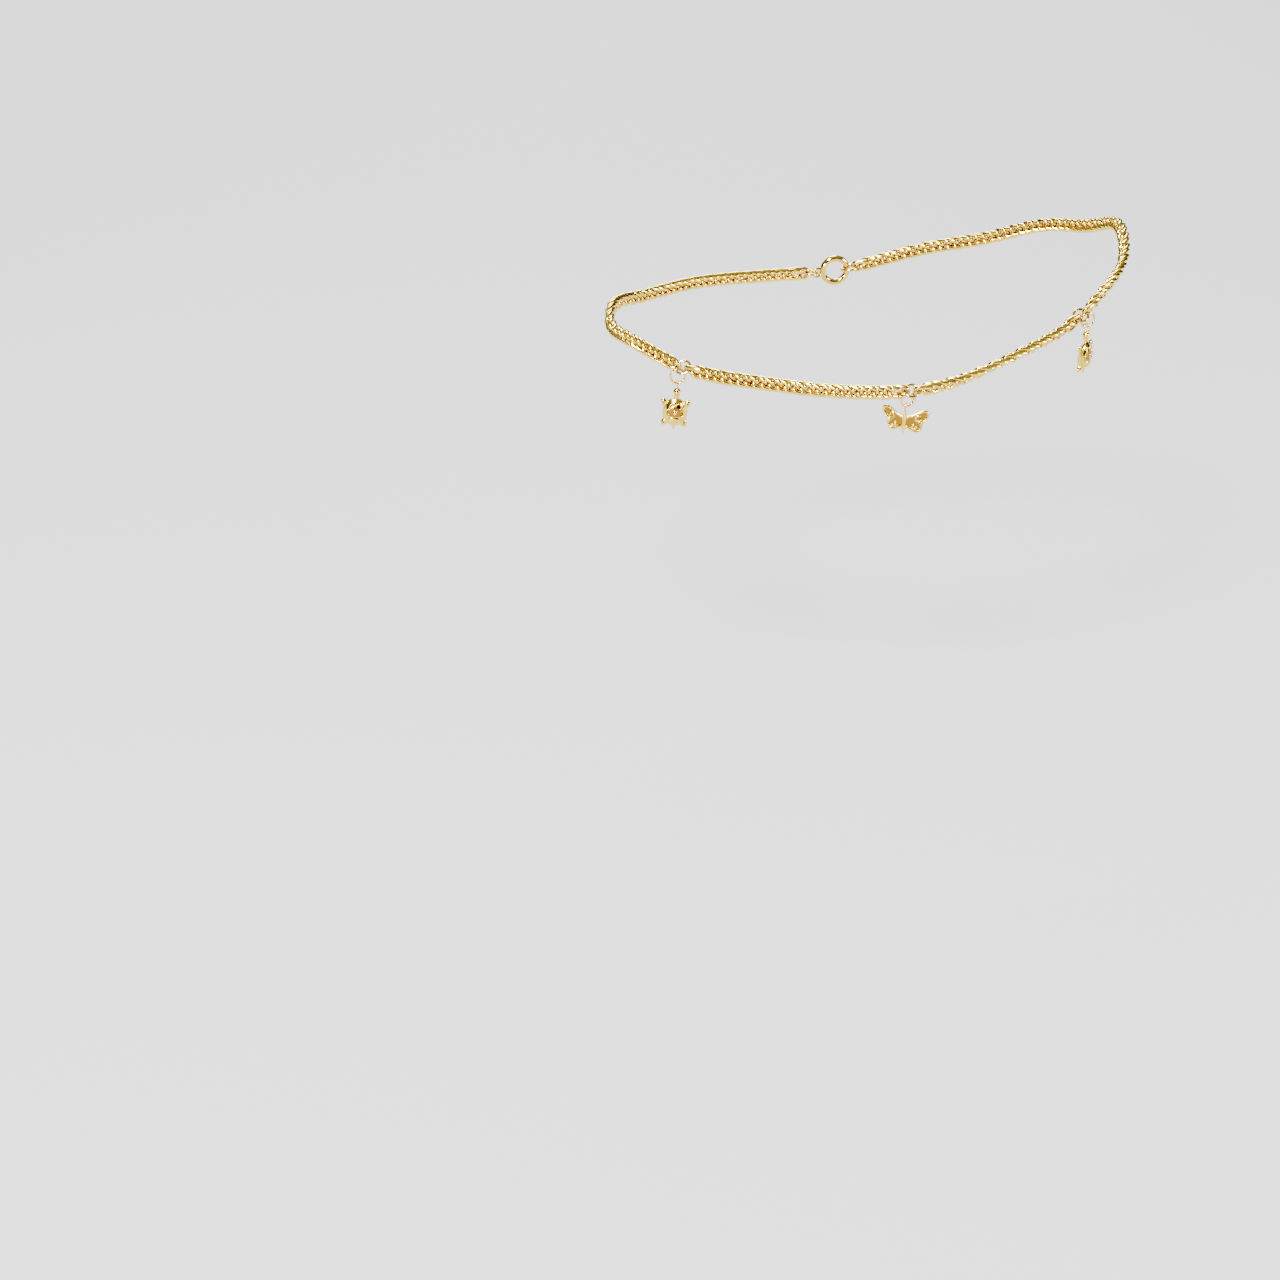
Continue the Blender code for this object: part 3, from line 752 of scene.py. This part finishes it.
def drawn(points, wire, closed, filled=0):
    """A smooth line through points of a wing, as round wire, or filled to a plate."""
    start_fresh()
    curve = bpy.data.curves.new("drawn", "CURVE")
    curve.dimensions = "2D" if filled else "3D"
    line = curve.splines.new("BEZIER")
    line.bezier_points.add(len(points) - 1)
    line.use_cyclic_u = closed
    line.resolution_u = 6
    for point, place in zip(line.bezier_points, points):
        point.co = (*place, 0)
        point.handle_left_type = "AUTO"
        point.handle_right_type = "AUTO"
    if filled:
        curve.fill_mode = "BOTH"
        curve.extrude = filled / 2
    else:
        curve.bevel_depth = wire / 2
        curve.bevel_resolution = 3
        curve.use_fill_caps = True
    made = bpy.data.objects.new("drawn", curve)
    bpy.context.scene.collection.objects.link(made)
    made.select_set(True)
    bpy.context.view_layer.objects.active = made
    bpy.ops.object.convert(target="MESH")
    made = bpy.context.object
    made.data.transform(Matrix.Rotation(math.radians(90), 4, "X"))
    return made


def add_butterfly(node, place):
    half_span = WING_SPAN / 2
    width = BUTTERFLY_BODY_WIDTH / 2
    body_top = LOOP_BOTTOM_DOWN - LOOP_WIRE / 2
    parts = [
        cast_ball(
            (0, 0, -body_top - BUTTERFLY_BODY_LENGTH * 0.45),
            (width, width, BUTTERFLY_BODY_LENGTH * 0.45),
        ),
        cast_ball(
            (0, 0, -body_top - BUTTERFLY_BODY_LENGTH * 0.6),
            (width * 0.55, width * 0.55, BUTTERFLY_BODY_LENGTH * 0.4),
        ),
        cast_loop(),
    ]
    for side in (-1, 1):
        outline = [
            (side * across * half_span, WING_TIPS_UP - down * WING_HEIGHT) for across, down in WING_OUTLINE
        ]
        centre = (side * half_span * 0.5, WING_TIPS_UP - WING_HEIGHT * 0.5)
        inner = [
            (x + (centre[0] - x) * WING_INSET, z + (centre[1] - z) * WING_INSET) for x, z in outline
        ]
        plate = drawn(inner, 0, True, PLATE_THICKNESS)
        plate.data.transform(Matrix.Translation((0, PLATE_BACK, 0)))
        pieces = [plate, drawn(inner, WING_RIM_WIRE, True)]
        for across, down, radius, begin, turns in SCROLLS:
            line = []
            for step in range(SCROLL_STEPS + 1):
                share = step / SCROLL_STEPS
                angle = math.radians(begin + 360 * turns * share)
                away = radius * half_span * (1 - SCROLL_TIGHTENING * share)
                x = across * half_span + away * math.cos(angle)
                line.append((side * x, WING_TIPS_UP - down * WING_HEIGHT + away * math.sin(angle)))
            scroll = drawn(line, SCROLL_WIRE, False)
            scroll.data.transform(Matrix.Translation((0, -SCROLL_FORWARD, 0)))
            pieces.append(scroll)
        for piece in pieces:
            piece.data.transform(Matrix.Rotation(math.radians(side * WING_SWEEP), 4, "Z"))
        parts += pieces
    butterfly = cast_together(parts, [], smoothing=2)

    # The wing ground between the scrolls is painted darker as shade
    def shaded_wing_ground(vertex):
        side = 1 if vertex.co.x > 0 else -1
        turn = Matrix.Rotation(-math.radians(side * WING_SWEEP), 3, "Z")
        at = turn @ vertex.co
        facing = turn @ vertex.normal
        return abs(at.x) > width and GROUND_FORWARD < at.y < GROUND_BACK and facing.y < GROUND_FACING

    paint_sunk_shade(butterfly, shaded_wing_ground)
    settle(butterfly, place)
    return finish(butterfly, node, cast_gold)


add_butterfly("butterfly_charm", middle_place)


# The clasp: a plain ring of plated brass tube, closed, with its eye soldered on. A ring through the eye takes
# one end of the chain, and a thicker ring at the other end hooks in it.
def add_clasp():
    at, along, out, up = spot_at(CLASP_PLACE)
    start_fresh()
    bpy.ops.mesh.primitive_torus_add(
        major_segments=64,
        minor_segments=20,
        major_radius=(CLASP_OUTSIDE - CLASP_TUBE) / 2,
        minor_radius=CLASP_TUBE / 2,
    )
    tube = bpy.context.object
    start_fresh()
    bpy.ops.mesh.primitive_torus_add(
        major_segments=32,
        minor_segments=14,
        major_radius=(EYE_OUTSIDE - EYE_WIRE) / 2,
        minor_radius=EYE_WIRE / 2,
        location=(eye_middle, 0, 0),
    )
    eye = settle(bpy.context.object)
    clasp = cast_together([tube, eye], [], smoothing=3)
    settle(clasp, Matrix.Translation(at) @ axes(along, up, along.cross(up)))
    finish(clasp, "clasp", ring_gold)


add_clasp()
for node, middle, outside, wire in (
    ("clasp_ring", clasp_ring_middle, CLASP_RING_OUTSIDE, CLASP_RING_WIRE),
    ("end_ring", end_ring_middle, END_RING_OUTSIDE, END_RING_WIRE),
):
    at, along, out, up = spot_at(CLASP_PLACE + middle)
    ring = make_ring(outside, wire, CLASP_RING_GAP)
    settle(ring, Matrix.Translation(at) @ axes(along, out, up))
    finish(ring, node, ring_gold)


# The floor and the light: a plain pale floor well below the loop, which is held up, and soft studio lamps.
FLOOR_DOWN = 70 * MM
start_fresh()
bpy.ops.mesh.primitive_plane_add(size=8, location=(0, 0, -FLOOR_DOWN))
floor = bpy.context.object
floor.name = "floor"
paper = bpy.data.materials.new("paper")
paper.use_nodes = True
paper_shader = paper.node_tree.nodes["Principled BSDF"]
paper_shader.inputs["Roughness"].default_value = 0.9
paper_shader.inputs["Base Color"].default_value = (0.435, 0.435, 0.45, 1)
floor.data.materials.append(paper)


def add_lamp(name, place, size, power):
    """A round white studio lamp that faces the middle of the loop."""
    data = bpy.data.lights.new(name, "AREA")
    data.shape = "DISK"
    data.size = size
    data.energy = power
    lamp = bpy.data.objects.new(name, data)
    bpy.context.scene.collection.objects.link(lamp)
    lamp.location = place
    lamp.rotation_euler = (-Vector(place)).to_track_quat("-Z", "Y").to_euler()


add_lamp("key", (-0.45, -0.5, 0.9), size=0.36, power=54)
add_lamp("side", (0.75, -0.45, 0.3), size=0.3, power=17)
add_lamp("front", (-0.55, -0.8, 0.12), size=0.16, power=8)
add_lamp("back", (0.1, 0.9, 0.6), size=0.5, power=20)

world = bpy.data.worlds.new("studio")
bpy.context.scene.world = world
world.use_nodes = True
sky = world.node_tree.nodes["Background"]
sky_place = world.node_tree.nodes.new("ShaderNodeTexCoord")
sky_split = world.node_tree.nodes.new("ShaderNodeSeparateXYZ")
sky_ramp = world.node_tree.nodes.new("ShaderNodeValToRGB")
world.node_tree.links.new(sky_place.outputs["Generated"], sky_split.inputs["Vector"])
world.node_tree.links.new(sky_split.outputs["Z"], sky_ramp.inputs["Fac"])
world.node_tree.links.new(sky_ramp.outputs["Color"], sky.inputs["Color"])
sky_ramp.color_ramp.elements[0].position = 0.3
sky_ramp.color_ramp.elements[0].color = (0.03, 0.03, 0.03, 1)
sky_ramp.color_ramp.elements[1].position = 0.9
sky_ramp.color_ramp.elements[1].color = (1, 1, 1, 1)
sky.inputs["Strength"].default_value = 0.5
